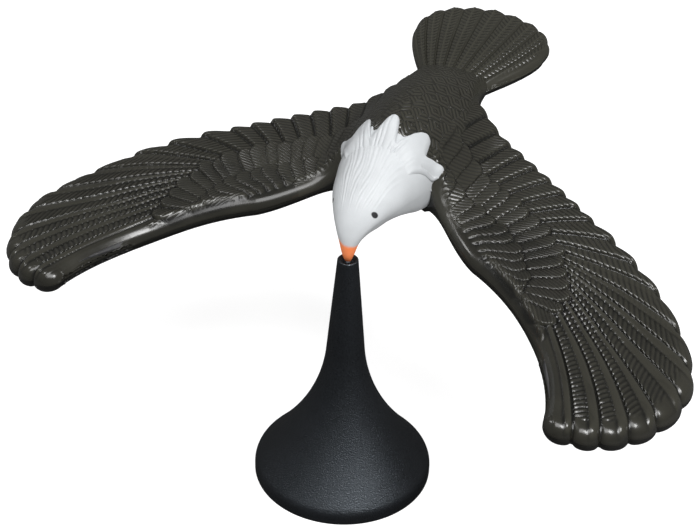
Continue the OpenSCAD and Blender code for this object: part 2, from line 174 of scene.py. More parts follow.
turned = put(turning, "GeometryNodeSetPosition", {0: net.outputs["Mesh"], "Position": spot.outputs[0]})
closed = put(turning, "GeometryNodeMergeByDistance", {"Geometry": turned.outputs[0], "Distance": 1e-6})
smooth = put(turning, "GeometryNodeSetShadeSmooth", {"Geometry": closed.outputs[0]})
dress(turning, smooth.outputs[0], given, made)


def grain_group():
    """Fine mould texture and slow colour drift, shared by the plastics and the metals."""
    tree, given, made = start_tree(
        "mould_grain", "ShaderNodeTree",
        [("Grain Scale", "NodeSocketFloat"), ("Drift Scale", "NodeSocketFloat")],
        [("Grain", "NodeSocketFloat"), ("Drift", "NodeSocketFloat")])
    spot = put(tree, "ShaderNodeTexCoord").outputs["Object"]
    grain = put(tree, "ShaderNodeTexNoise", {"Vector": spot, "Scale": given.outputs[0], "Detail": 2.0})
    drift = put(tree, "ShaderNodeTexNoise", {"Vector": spot, "Scale": given.outputs[1], "Detail": 5.0})
    tree.links.new(grain.outputs["Fac"], made.inputs["Grain"])
    tree.links.new(drift.outputs["Fac"], made.inputs["Drift"])
    return tree


mould_grain = grain_group()


def start_material(name, grain_scale, drift_scale):
    material = bpy.data.materials.new(name)
    material.use_nodes = True
    tree = material.node_tree
    tree.nodes.clear()
    shader = put(tree, "ShaderNodeBsdfPrincipled")
    put(tree, "ShaderNodeOutputMaterial", {0: shader.outputs[0]})
    grain = put(tree, "ShaderNodeGroup", node_tree=mould_grain)
    grain.inputs[0].default_value = grain_scale
    grain.inputs[1].default_value = drift_scale
    return material, tree, shader, grain


def spread(tree, value, low, high, to_low, to_high):
    return put(tree, "ShaderNodeMapRange", {0: value, 1: low, 2: high, 3: to_low, 4: to_high}).outputs[0]


def shade(tree, value, stops):
    ramp = put(tree, "ShaderNodeValToRGB", {0: value})
    while len(ramp.color_ramp.elements) < len(stops):
        ramp.color_ramp.elements.new(0.5)
    for element, (at, colour) in zip(ramp.color_ramp.elements, stops):
        element.position = at
        element.color = (*colour, 1)
    return ramp.outputs[0]


def bump(tree, shader, height, distance):
    made = put(tree, "ShaderNodeBump", {"Height": height, "Distance": distance, "Strength": 1.0})
    tree.links.new(made.outputs[0], shader.inputs["Normal"])


stand_black, tree, shader, grain = start_material("textured_black_plastic", 3300.0, 90.0)
blacks = [(0.3, (0.0022, 0.0023, 0.0028)), (0.7, (0.0038, 0.0039, 0.0048))]
tree.links.new(shade(tree, grain.outputs["Drift"], blacks), shader.inputs["Base Color"])
tree.links.new(spread(tree, grain.outputs["Grain"], 0.3, 0.7, 0.24, 0.6), shader.inputs["Roughness"])
shader.inputs["Specular IOR Level"].default_value = 0.8
shader.inputs["Specular Tint"].default_value = (0.8, 0.9, 1, 1)
bump(tree, shader, grain.outputs["Grain"], 0.16 * mm)

stand = shaped("stand", line, turning, {"Segments": 220, "Material": stand_black})
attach(stand, "stand")
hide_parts("stand_shell")


# Pivot: a polished steel pin pressed into the beak, and its rounded end that rests in the stand's cup.
# Both are turned parts whose solids are right as they are, so they only get their finish here.
pivot_steel, tree, shader, grain = start_material("polished_pin_steel", 4000.0, 700.0)
shader.inputs["Metallic"].default_value = 1
tree.links.new(shade(tree, grain.outputs["Drift"], [(0.3, (0.5, 0.5, 0.51)), (0.7, (0.62, 0.62, 0.62))]),
               shader.inputs["Base Color"])
tree.links.new(spread(tree, grain.outputs["Grain"], 0.3, 0.7, 0.12, 0.26), shader.inputs["Roughness"])
for name in ("pivot_ball", "pivot_pin"):
    frame["nodes"][name].data.materials.clear()
    frame["nodes"][name].data.materials.append(pivot_steel)


# Weights: two cast metal slugs sealed in the wing tips, which bring the balance point under the beak.
# They keep their solids, with the grey skin and small pits of a raw casting.
weight_metal, tree, shader, grain = start_material("raw_cast_metal", 1500.0, 200.0)
shader.inputs["Metallic"].default_value = 1
tree.links.new(shade(tree, grain.outputs["Drift"], [(0.3, (0.16, 0.16, 0.165)), (0.7, (0.24, 0.24, 0.245))]),
               shader.inputs["Base Color"])
tree.links.new(spread(tree, grain.outputs["Grain"], 0.3, 0.7, 0.4, 0.6), shader.inputs["Roughness"])
bump(tree, shader, grain.outputs["Grain"], 0.08 * mm)
for name in ("left_wing_weight", "right_wing_weight"):
    frame["nodes"][name].data.materials.clear()
    frame["nodes"][name].data.materials.append(weight_metal)


# Wings: the two spread wings of the bird, moulded in olive-brown plastic as an upper and a lower half and
# bonded edge to edge. Long finger feathers fan round the tip, short ones follow the inner trailing edge,
# and two rows of coverts and small leading-edge feathers lie over their quills like shingles.
def ease(low, high, x):
    t = np.clip((x - low) / (high - low), 0, 1)
    return t * t * (3 - 2 * t)


def mix(a, b, t):
    return a + (b - a) * t


def arch(u):
    return np.sqrt(np.clip(4 * u * (1 - u), 0, 1))


wing_reach = 92.5
seam_gap = 0.03
corner = np.array([65.5, -33.06])
front_parts = [[[12, 25], [18.5, 20.5], [24, 12.2], [31, 8.6]], [[31, 8.6], [45.5, 3.4], [60, -10], corner]]
rear_parts = [[[11.5, 61.5], [28, 53], [54, 40], [71.5, 27]],
              [[71.5, 27], [81.5, 21.5], [wing_reach, 7], [wing_reach, -6]],
              [[wing_reach, -6], [wing_reach, -22], [wing_reach - 12, -39], [65, -36]]]


def joined(parts, splits, t):
    t = np.asarray(t, float)
    edges = [0, *splits, 1]
    spots = np.zeros(t.shape + (2,))
    for part, low, high in zip(parts, edges, edges[1:]):
        here = (t >= low) & (t <= high)
        spots[here] = curve(part, (t[here] - low) / (high - low))
    return spots


def front_edge(t):
    return joined(front_parts, [0.25], t)


def rear_edge(s):
    return joined(rear_parts, [0.46, 0.72], s)


def seam_height(x, y):
    reach = np.abs(x)
    droop = np.tan(np.radians(8.3)) * (1 - 0.6 * ease(64, 76, y))
    level = np.where(y > 0, ease(67, wing_reach + 3, reach), ease(46, 67, reach))
    return 4.6 - droop * reach + np.tan(np.radians(9.1)) * y * (1 - level)


def half_thickness(x):
    return mix(2.7, 3.7, np.clip(np.abs(x) / wing_reach, 0, 1))


def dome(u):
    return np.clip(1 - u * u, 0, None)


def back_rise(x, y):
    hump = np.where(y > 28, dome((y - 28) / 49) ** 1.05, dome((y - 28) / 20))
    shoulder = 1 - ease(9, 14, np.abs(x)) * (1 - ease(19, 29, y))
    return 15.5 * np.where(np.abs(x) < 23, dome(x / 23) ** 2, 0) * hump * shoulder


def belly_drop(x, y):
    return 7 * np.where(np.abs(x) < 19, dome(x / 19) ** 2, 0) * dome((y - 43) / 29) ** 1.2


def rounded(distance, radius):
    return 0.03 + 0.97 * np.sqrt(np.clip(1 - (1 - np.clip(distance / radius, 0, 1)) ** 2, 0, 1))


def edge_distance(spots, outline):
    tree = kdtree.KDTree(len(outline))
    for i, (x, y) in enumerate(outline):
        tree.insert((x, y, 0), i)
    tree.balance()
    return np.array([tree.find((x, y, 0))[2] for x, y in spots.reshape(-1, 2)]).reshape(spots.shape[:-1])


def beside(spots, line):
    """Signed distance of each spot from a line of points, and how far along the line it lies."""
    nearest = np.full(len(spots), 1e9)
    side = np.zeros(len(spots))
    along = np.zeros(len(spots))
    start = 0.0
    for a, b in zip(line, line[1:]):
        way = b - a
        length = np.hypot(*way)
        t = np.clip(((spots - a) @ way) / length ** 2, 0, 1)
        away = spots - a - t[:, None] * way
        gap = np.hypot(away[:, 0], away[:, 1])
        turn = way[1] * (spots[:, 0] - a[0]) - way[0] * (spots[:, 1] - a[1])
        closer = gap < nearest
        nearest = np.where(closer, gap, nearest)
        side = np.where(closer, np.sign(turn), side)
        along = np.where(closer, start + t * length, along)
        start += length
    return nearest * side, along


short_feathers = 9


def feather_width(k):
    return 5.9 if k < short_feathers else 2.2 + 10.3 * np.sin(np.pi * (k - short_feathers + 3.2) / 14.7)


def step_lengths(line):
    return np.hypot(*np.diff(line, axis=0).T)


feather_widths = [feather_width(k) for k in range(15)] + [10.9, 8.6, 7.9, 7.0, 8.5]
feather_count = len(feather_widths)
last_feather = feather_count - 1
notches = np.concatenate([[0], np.cumsum(feather_widths)]) / sum(feather_widths)

fine = np.linspace(0, 0.99995, 9000)
feather = np.clip(np.searchsorted(notches, fine, side="right") - 1, 0, last_feather)
across = (fine - notches[feather]) / (notches[feather + 1] - notches[feather])
across = across ** mix(1.9, 1.0, ease(8, 15, feather.astype(float)))
swell = np.clip(4 * across * (1 - across), 0, 1) ** 0.6 * np.where(feather < short_feathers, 0.9, 1.6)
round_off = np.clip((across - 0.35) / 0.65, 0, 1)
swell = np.where(feather == last_feather, swell - 3 * (1 - np.sqrt(1 - round_off ** 2)), swell)
rear_line = rear_edge(fine)
way = np.gradient(rear_line, axis=0)
rear_line = rear_line + np.stack([-way[:, 1], way[:, 0]], 1) / np.hypot(*way.T)[:, None] * swell[:, None]
front_line = front_edge(np.interp(fine, [0, 0.34, 0.6, 0.8, 0.9, 0.96, 1],
                                  [0, 0.33, 0.55, 0.625, 0.685, 0.745, 1]))
stride = np.maximum(step_lengths(rear_line) / 0.335, step_lengths(front_line) / 0.6)
walked = np.concatenate([[0], np.cumsum(stride)])
row_at = np.interp(np.linspace(0, walked[-1], int(walked[-1])), walked, np.arange(len(fine)))


def resample(line, at):
    return np.stack([np.interp(at, np.arange(len(line)), line[:, i]) for i in range(2)], 1)


root = np.linspace(0, 1, 14, endpoint=False)[:, None]
row_front = np.concatenate([mix(np.array([5.0, 31]), front_line[0], root), resample(front_line, row_at)])
row_rear = np.concatenate([mix(np.array([5.0, 64]), rear_line[0], root), resample(rear_line, row_at)])
chord = row_rear - row_front
chord_length = np.hypot(*chord.T)
bend = np.minimum(half_thickness(row_front[:, 0] + chord[:, 0] / 2), 0.45 * chord_length)


def stops(bend, length, inner):
    turn = 1 - np.cos(np.linspace(0, np.pi / 2, 9))
    middle = np.linspace(bend, length - bend, inner + 2)[1:-1]
    return np.concatenate([turn * bend, middle, length - turn[::-1] * bend])


def laid_out(inner):
    way = chord / np.maximum(chord_length, 1e-6)[:, None]
    far = np.array([stops(b, c, inner) for b, c in zip(bend, chord_length)])
    return row_front[:, None] + far[:, :, None] * way[:, None]


wing_outline = np.concatenate([front_line[::6], rear_line[::3]])
top_plan = laid_out(126)
under_plan = laid_out(12)
top_edge = edge_distance(top_plan, wing_outline)
top_edge[:, [0, -1]] = 0
under_edge = edge_distance(under_plan, wing_outline)
under_edge[:, [0, -1]] = 0
band = mix(3.4, 1.9, np.clip((top_plan[..., 0] - 20) / 40, 0, 1))
off_band = ease(0.5, 1.1, edge_distance(top_plan, front_line[::6]) / band)

# Creases between the flight feathers run from under the coverts to the notches of the outline
quill_line = [[10.5, 40], [20, 26], [66, 34], [54, -6]]
crease_count = feather_count + 1
crease_roots = curve(quill_line, (np.arange(crease_count) / feather_count) ** 0.94)
crease_ends = rear_edge(notches)
crease_ends[-1] = [67.2, -33.5]
crease_bow = 0.6 + 2.0 * np.exp(-((np.arange(crease_count) - 17.6) / 1.6) ** 2)
spots = top_plan.reshape(-1, 2)
gaps = np.zeros((crease_count, len(spots)))
lengths = np.zeros((crease_count, len(spots)))
for k in range(crease_count):
    a, b = crease_roots[k], crease_ends[k]
    out = (b - a) / np.linalg.norm(b - a)
    middle = (a + b) / 2 + 2 * crease_bow[k] * np.array([-out[1], out[0]])
    t = np.linspace(0, 1, 13)[:, None]
    crease = (1 - t) ** 2 * a + 2 * t * (1 - t) * middle + t * t * b
    crease = np.concatenate([[a - 8 * out], crease, [b + 6 * out]])
    gaps[k], lengths[k] = beside(spots, crease)
owner = np.cumprod(gaps > 0, axis=0).sum(0) - 1
flight = np.clip(owner, 0, last_feather)
at_tip = flight == last_feather
pick = np.arange(len(spots))
inner_gap = np.abs(gaps[flight, pick])
outer_gap = np.abs(gaps[flight + 1, pick])
vane = outer_gap / np.maximum(inner_gap + outer_gap, 1e-6)
quill = lengths[flight, pick] * (1 - vane) + lengths[flight + 1, pick] * vane
edge = top_edge.reshape(-1)

finger = ease(10.5, 14.5, flight.astype(float))
on_blade = (owner >= 0) & (owner < feather_count)
ridge = np.sqrt(dome(np.clip((vane - 0.79) / 0.21, -1, 1)))
finger_form = 0.05 + 0.12 * arch(np.clip(vane / 0.5, 0, 1)) + 0.62 * ridge
rolled = np.sqrt(np.clip(1 - (1 - np.clip(outer_gap / 0.9, 0, 1)) ** 2, 0, 1))
short_form = 0.85 * (1 - 0.8 * vane) * rolled - 0.15
crease_cut = 0.42 * (np.exp(-(inner_gap / 0.34) ** 2) + ~at_tip * np.exp(-(outer_gap / 0.34) ** 2))
flight_relief = np.where(on_blade, mix(short_form, finger_form, finger) - crease_cut, 0)
barb_pitch = np.where(at_tip, 1.2, 1.5)
flight_vane = (quill - np.where(at_tip, 0.5, 1.1) * inner_gap) / barb_pitch
strip = ease(0.02, 0.08, vane) * (1 - ease(0.55, 0.63, vane))
whole = ease(0.0, 0.05, vane) * (1 - ease(0.9, 0.98, vane))
tip_clear = mix(ease(0.6, 1.4, edge), ease(3.2, 4.8, edge), finger)
flight_barb = np.where(on_blade, mix(whole, strip, finger) * tip_clear, 0)
flight_rope = np.where(on_blade, strip * tip_clear * finger * np.where(at_tip, 0.6, 1), 0)


def lay_feather(plan, coat, root, tip, half_width, lift, lean, pitch=1.4, blunt=0.8, sink=0.5, slant=1.2):
    """Lays one small feather on a coat: its height, barb position and barb strength, where it is highest."""
    way = tip - root
    length = np.hypot(*way)
    way = way / length
    off = plan - root
    a = off @ way
    b = off @ np.array([way[1], -way[0]])
    near = np.nonzero((a > -0.3) & (a < length + 0.3) & (np.abs(b) < half_width + 0.3))[0]
    a, b = a[near], b[near]
    nose = blunt * half_width
    past = np.clip((a - (length - nose)) / nose, 0, 2)
    inside = half_width * (1 - np.hypot(np.where(a > length - nose, past, 0), b / half_width))
    cover = np.sqrt(np.clip(1 - (1 - np.clip(inside / 0.6, 0, 1)) ** 2, 0, 1))
    crown = lift * (0.2 + 0.8 * np.clip(a / length, 0, 1))
    crown = crown + 0.18 * dome(b / half_width) + lean * b / half_width
    high = -sink + (crown + sink) * cover * ease(-0.1, 0.3, a / length)
    top = high > coat["relief"][near]
    here = near[top]
    coat["relief"][here] = high[top]
    coat["vane"][here] = ((a - slant * np.where(lean > 0, b, np.abs(b))) / pitch)[top]
    coat["barb"][here] = (0.8 * ease(0.05, 0.5, inside) * ease(0.1, 0.35, a / length))[top]
    coat["rope"][here] = 0


band_line = [[11, 27], [21, 21.5], [34, 12.5], [43, 7]]
first_row = [[9, 31], [24, 33], [54, 16], [45.5, -1.5]]
second_row = [[9, 46], [26, 35], [66, 33], [55.5, -9]]


def wing_coat(seed):
    """Relief, barb position and barb strength of a wing's top, with small differences for each wing."""
    chance = np.random.default_rng(seed)
    coat = {"relief": flight_relief.copy(), "vane": flight_vane.copy(), "barb": flight_barb.copy(),
            "rope": flight_rope.copy()}
    for tips, roots, count, lap in ((second_row, first_row, 20, 3.5), (first_row, band_line, 16, 2.5)):
        for t in np.linspace(0.02, 1, count):
            t = np.clip(t + chance.uniform(-0.006, 0.006), 0, 1)
            tip, root = curve(tips, t), curve(roots, t)
            way = (tip - root) / np.linalg.norm(tip - root)
            lay_feather(spots, coat, root - lap * way, tip + chance.uniform(-1, 1) * way,
                        2.8 * chance.uniform(0.88, 1.12), 1.0, lean=0.36, pitch=chance.uniform(1.4, 1.6),
                        slant=chance.uniform(1.0, 1.3), blunt=1.2)
    for i, t in enumerate(np.linspace(0.01, 0.62, 60)):
        start = mix(curve(band_line, t), curve(first_row, t), 0.16 * (i % 2) - 0.14)
        way = curve(first_row, t) - curve(band_line, t)
        tip = start + way / np.linalg.norm(way) * chance.uniform(2.6, 4.2)
        lay_feather(spots, coat, start, tip, 0.5, 0.3, lean=0.0, blunt=2.2, sink=0.1)
    coat["barb"] = coat["barb"] * np.where(coat["relief"] > -0.04, 1, 0)
    return coat


def closed_piece(name, top, under, groove, attributes, flip=False):
    """One closed mesh from an upper and a lower net of points that meet in a fine groove along the seam."""
    n, m, low = top.shape[0], top.shape[1], under.shape[1]
    spots = np.concatenate([top.reshape(-1, 3), under.reshape(-1, 3), groove[0], groove[1]])
    above = np.arange(n * m).reshape(n, m)
    below = n * m + np.arange(n * low).reshape(n, low)
    front = n * m + n * low + np.arange(n)
    rear = front + n

    def strip(a, b, c, d):
        return np.stack([a, b, c, d], -1).reshape(-1, 4)

    quads = np.concatenate([
        strip(above[:-1, :-1], above[1:, :-1], above[1:, 1:], above[:-1, 1:]),
        strip(below[:-1, :-1], below[:-1, 1:], below[1:, 1:], below[1:, :-1]),
        strip(above[:-1, 0], front[:-1], front[1:], above[1:, 0]),
        strip(front[:-1], below[:-1, 0], below[1:, 0], front[1:]),
        strip(above[:-1, -1], above[1:, -1], rear[1:], rear[:-1]),
        strip(rear[:-1], rear[1:], below[1:, -1], below[:-1, -1])])
    ends = [list(above[0]) + [rear[0]] + list(below[0, ::-1]) + [front[0]],
            [front[-1]] + list(below[-1]) + [rear[-1]] + list(above[-1, ::-1])]
    faces = quads.tolist() + ends
    if flip:
        spots = spots * [-1, 1, 1]
        faces = [face[::-1] for face in faces]
    mesh = bpy.data.meshes.new(name + "_net")
    mesh.from_pydata(((spots + [0, 0, pivot_height]) * mm).tolist(), [], faces)
    mesh.polygons.foreach_set("use_smooth", np.ones(len(mesh.polygons), bool))
    for label, values in attributes.items():
        full = np.zeros(len(spots), np.float32)
        full[:n * m] = values.reshape(-1)
        mesh.attributes.new(label, "FLOAT", "POINT").data.foreach_set("value", full)
    return mesh


# Barbs: the fine slanting ridges of the long feathers and the strands of the head, raised from the surface
barbing, given, made = start_tree(
    "raised_barbs", "GeometryNodeTree",
    [("Geometry", "NodeSocketGeometry"), ("Depth", "NodeSocketFloat"), ("Material", "NodeSocketMaterial")],
    [("Geometry", "NodeSocketGeometry")])
position, strength = (
    put(barbing, "GeometryNodeInputNamedAttribute", {"Name": name}, data_type="FLOAT").outputs["Attribute"]
    for name in ("vane", "rope"))
wave = math(barbing, "ABSOLUTE", math(barbing, "SINE", math(barbing, "MULTIPLY", position, np.pi)))
height = math(barbing, "MULTIPLY", math(barbing, "MULTIPLY", wave, strength), given.outputs["Depth"])
push = put(barbing, "ShaderNodeVectorMath", operation="SCALE")
barbing.links.new(put(barbing, "GeometryNodeInputNormal").outputs[0], push.inputs[0])
barbing.links.new(height, push.inputs["Scale"])
raised = put(barbing, "GeometryNodeSetPosition", {"Geometry": given.outputs[0], "Offset": push.outputs[0]})
dress(barbing, raised.outputs[0], given, made)


def tinted(tree, amount, under, over):
    return put(tree, "ShaderNodeMix", {0: amount, 6: under, 7: over}, data_type="RGBA").outputs[2]


bird_brown, tree, shader, grain = start_material("olive_brown_plastic", 5200.0, 60.0)
# Painted shading: the crease attribute lowers the brown's tone in hollows and raises it on raised edges.
painted_shading, vane_at, barbed = (
    put(tree, "ShaderNodeAttribute", attribute_name=name).outputs["Fac"]
    for name in ("crease", "vane", "barb"))
drifted = math(tree, "MULTIPLY", grain.outputs["Drift"], 0.3)
tone = math(tree, "ADD", drifted, math(tree, "MULTIPLY", painted_shading, 0.7))
browns = [(0.3, (0.007, 0.007, 0.006)), (0.5, (0.028, 0.027, 0.021)), (0.8, (0.04, 0.039, 0.03))]
stroke = math(tree, "ABSOLUTE", math(tree, "SINE", math(tree, "MULTIPLY", vane_at, np.pi)))
# Painted shade: the grooves between barbs are darkened towards near black.
painted_groove_shade = math(tree, "MULTIPLY", math(tree, "SUBTRACT", 1.0, stroke), math(tree, "MULTIPLY", barbed, 0.75))
colour = tinted(tree, painted_groove_shade, shade(tree, tone, browns), (0.005, 0.005, 0.0045, 1))
tree.links.new(colour, shader.inputs["Base Color"])
tree.links.new(spread(tree, grain.outputs["Drift"], 0.3, 0.7, 0.2, 0.28), shader.inputs["Roughness"])
stroke = math(tree, "MULTIPLY", math(tree, "MULTIPLY", stroke, barbed), 0.17 * mm)
pitted = math(tree, "MULTIPLY", grain.outputs["Grain"], 0.006 * mm)
bump(tree, shader, math(tree, "ADD", stroke, pitted), 1.0)

barb_depth = 0.26 * mm
rear_share = 0.85
under_share = 0.85
row_place = np.interp(row_at, np.arange(len(fine)), fine)
share = np.concatenate([np.full(len(root), rear_share), mix(rear_share, 1, ease(0.4, 0.75, row_place))])


def painted_relief_shading(relief):
    """Painted shade and highlight from the relief, from 0 to 1: low where the surface lies lower than its
    surroundings, so it is painted darker there, and high where it stands out, so it is painted lighter.
    """
    wide = relief
    for axis in (0, 1):
        wide = np.mean([np.roll(wide, step, axis) for step in range(-4, 5)], axis=0)
    return np.clip(0.55 + 0.85 * (relief - wide), 0, 1)


def wing(name, seed, flip):
    coat = wing_coat(seed)
    x, y = top_plan[..., 0], top_plan[..., 1]
    along = np.linspace(0, 1, x.shape[1])
    thick = half_thickness(x) * mix(1, share[:, None], along)
    relief = coat["relief"].reshape(x.shape) * ease(0, 1.3, top_edge) * ease(7, 10, x) * off_band
    z = seam_height(x, y) + seam_gap + thick * rounded(top_edge, thick) + back_rise(x, y) + relief
    z = z - 1.4 * (1 - ease(8, 12.5, x)) * rounded(top_edge, thick)
    top = np.dstack([x, y, z])
    ux, uy = under_plan[..., 0], under_plan[..., 1]
    low = under_share * half_thickness(ux)
    under_z = seam_height(ux, uy) - seam_gap - low * rounded(under_edge, low) - belly_drop(ux, uy)
    under = np.dstack([ux, uy, under_z])
    way = chord / np.maximum(chord_length, 1e-6)[:, None]
    inset = np.minimum(0.1, 0.2 * chord_length)[:, None]
    grooves = []
    for line in (row_front + way * inset, row_rear - way * inset):
        grooves.append(np.column_stack([line, seam_height(line[:, 0], line[:, 1])]))
    barb = coat["barb"].reshape(x.shape) * ease(7, 10, x) * off_band
    # The crease attribute is painted shading: the relief's hollows darker, its raised edges lighter, and the
    # finger feathers a little darker than the rest of the wing.
    values = {"vane": coat["vane"], "barb": barb, "rope": coat["rope"],
              "crease": painted_relief_shading(relief) - 0.12 * finger.reshape(x.shape)}
    net = closed_piece(name, top, under, grooves, values, flip)
    piece = shaped(name, net, barbing, {"Depth": barb_depth, "Material": bird_brown})
    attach(piece, "bird")
    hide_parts("upper_shell", "lower_shell")


wing("left_wing", 11, False)
wing("right_wing", 29, True)


# Body: the arched back and round belly between the wings, part of the same two mouldings.
# Rows of small rounded scale feathers lie over each other from the nape to the rump.
def body_half_width(y):
    return np.interp(y, [18, 22, 26, 30, 46, 58, 66, 70, 74, 79],
                     [6, 8.5, 12.6, 14.4, 14.6, 12.6, 10.4, 9.9, 10.2, 10.6])


def neck_tuck(y):
    return 4.5 * (1 - ease(24, 31, y))


body_y = np.linspace(23, 78, 224)
side = np.concatenate([-np.cos(np.linspace(0, 0.35, 9)), np.linspace(-np.cos(0.35), np.cos(0.35), 118)[1:-1],
                       np.cos(np.linspace(0.35, 0, 9))])


def body_plan(sides):
    y = np.repeat(body_y[:, None], len(sides), 1)
    return np.dstack([-sides[None] * body_half_width(y), y])


plan = body_plan(side)
x, y = plan[..., 0], plan[..., 1]
flank = body_half_width(y) - np.abs(x)
body_spots = plan.reshape(-1, 2)
coat = {"relief": np.full(len(body_spots), -0.15)}
for label in ("vane", "barb", "rope"):
    coat[label] = np.zeros(len(body_spots))
chance = np.random.default_rng(5)
spacing = 4.7
for row, at in enumerate(np.arange(30, 78, 3.7)):
    for place in np.arange(-4, 5):
        middle = (place + (row % 2) * 0.5) * spacing
        if abs(middle) > body_half_width(at) + 1:
            continue
        fan_out = 0.16 * middle / 10
        tip = np.array([middle + chance.uniform(-0.3, 0.3), at + chance.uniform(-0.4, 0.4)])
        start = tip - 7.2 * np.array([np.sin(fan_out), np.cos(fan_out)])
        lay_feather(body_spots, coat, start, tip, 2.75 * chance.uniform(0.95, 1.05), 0.8,
                    lean=0.0, pitch=1.5, blunt=1.0, slant=0.9)
thick = half_thickness(x) * 0.95
relief = coat["relief"].reshape(x.shape) * ease(0.3, 1.8, flank)
z = seam_height(x, y) + seam_gap + thick * rounded(flank, thick) + back_rise(x, y) + relief
z = z - 1.3 * ease(68, 77, y) + neck_tuck(y) * (1 - rounded(flank, 5))
top = np.dstack([x, y, z])
lower = body_plan(-np.cos(np.linspace(0, np.pi, 44)))
ux, uy = lower[..., 0], lower[..., 1]
low = under_share * half_thickness(ux)
under_z = seam_height(ux, uy) - seam_gap - low * rounded(body_half_width(uy) - np.abs(ux), low)
under = np.dstack([ux, uy, under_z - belly_drop(ux, uy) + neck_tuck(uy)])
grooves = []
for sign in (1, -1):
    inset = sign * (body_half_width(body_y) - 0.1)
    grooves.append(np.column_stack([inset, body_y, seam_height(inset, body_y) + neck_tuck(body_y)]))
barb = 1.25 * coat["barb"].reshape(x.shape) * ease(0.5, 2, flank)
# Painted light: the body and tail get a lighter tone than the wings, which are the same plastic, on top of
# the relief's painted shade and highlight.
painted_light_lift = 0.15
values = {"vane": coat["vane"], "barb": barb, "crease": painted_relief_shading(relief) + painted_light_lift}
body = shaped("body", closed_piece("body", top, under, grooves, values), barbing, {"Material": bird_brown})
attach(body, "bird")
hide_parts("upper_shell", "lower_shell")


# Tail: a broad oval fan of eleven feathers, moulded with the body and running into the rump.
# Each feather has a middle shaft with barbs on both sides and a rounded end in the scalloped rim.
tail_hinge = 58
tail_root = 8
tail_half_angle = 34
tail_feathers = 11
tail_rise = 2.5
tail_drop = 2.1
tail_barb_depth = 0.14 * mm
tail_share = np.sin(np.linspace(-np.pi / 2, np.pi / 2, 340))
tail_angle = tail_half_angle * mix(tail_share, np.sin(np.pi / 2 * tail_share), 0.4)
tail_place = tail_feathers * (tail_share + 1) / 2
tail_rim = mix(20, 49, np.clip(1 - (np.abs(tail_angle) / tail_half_angle) ** 4, 0, 1) ** 0.4)
tail_rim = tail_rim + 0.8 * np.abs(np.sin(np.pi * tail_place)) ** 0.8


def tail_plan(inner):
    reach = tail_rim - tail_root
    far = tail_root + np.array([stops(min(tail_rise, 0.4 * r), r, inner) for r in reach])
    turn = np.radians(tail_angle)[:, None]
    return np.dstack([np.sin(turn) * far, tail_hinge + np.cos(turn) * far]), far


plan, far = tail_plan(134)
turn = np.radians(tail_angle)
rim_line = np.column_stack([np.sin(turn) * tail_rim, tail_hinge + np.cos(turn) * tail_rim])
root_line = np.column_stack([np.sin(turn) * tail_root, tail_hinge + np.cos(turn) * tail_root])
ends = [mix(rim_line[i], root_line[i], t) for i in (0, -1) for t in np.linspace(0, 1, 120)]
fine_rim = np.concatenate([mix(rim_line[:-1], rim_line[1:], t) for t in (0, 0.33, 0.67)])
tail_outline = np.concatenate([fine_rim, ends])
edge = edge_distance(plan, tail_outline)
edge[:, -1] = 0
edge[[0, -1]] = 0
x, y = plan[..., 0], plan[..., 1]
run = (far - tail_root) / (tail_rim - tail_root)[:, None]
lane = tail_feathers * (tail_share[:, None] / (1 + 0.3 * (1 - run)) + 1) / 2
lane = np.where(lane < tail_feathers, lane % 1, 1)
crowd = 0.6 + 0.2 * np.pi * np.cos(np.pi / 2 * tail_share)
wide = far * np.radians(2 * tail_half_angle / tail_feathers) * crowd[:, None]
shaft = np.exp(-((lane - 0.5) * wide / 0.3) ** 2)
parting = np.exp(-(np.minimum(lane, 1 - lane) * wide / 0.3) ** 2)
relief = 0.3 * arch(lane) - 0.05 - 0.3 * parting + 0.34 * shaft
relief = relief * ease(0.2, 2.4, edge) * ease(tail_root, tail_root + 4, far)
barb = ease(0.03, 0.12, lane) * (1 - ease(0.88, 0.97, lane)) * ease(0.9, 1.9, edge)
barb = barb * ease(9, 13, far) * (1 - shaft)
vane = (far - 0.8 * np.abs(lane - 0.5) * wide) / 1.45
top = np.dstack([x, y, seam_height(x, y) + seam_gap + tail_rise * rounded(edge, tail_rise) + relief])
lower = tail_plan(10)[0]
low_edge = edge_distance(lower, tail_outline)
low_edge[:, -1] = 0
low_edge[[0, -1]] = 0
ux, uy = lower[..., 0], lower[..., 1]
under = np.dstack([ux, uy, seam_height(ux, uy) - seam_gap - tail_drop * rounded(low_edge, tail_drop)])
grooves = []
for reach in (np.full(len(tail_share), tail_root + 0.1), tail_rim - 0.1):
    spot = np.column_stack([np.sin(turn) * reach, tail_hinge + np.cos(turn) * reach])
    grooves.append(np.column_stack([spot, seam_height(spot[:, 0], spot[:, 1])]))
# The crease attribute is painted shading: hollows darker, raised edges lighter, and the whole tail painted a
# little lighter.
values = {"vane": vane, "barb": 0.9 * barb, "rope": 0.15 * barb, "crease": painted_relief_shading(relief) + painted_light_lift}
tail = shaped("tail", closed_piece("tail", top, under, grooves, values), barbing,
              {"Depth": tail_barb_depth, "Material": bird_brown})
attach(tail, "bird")
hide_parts("upper_shell", "lower_shell")


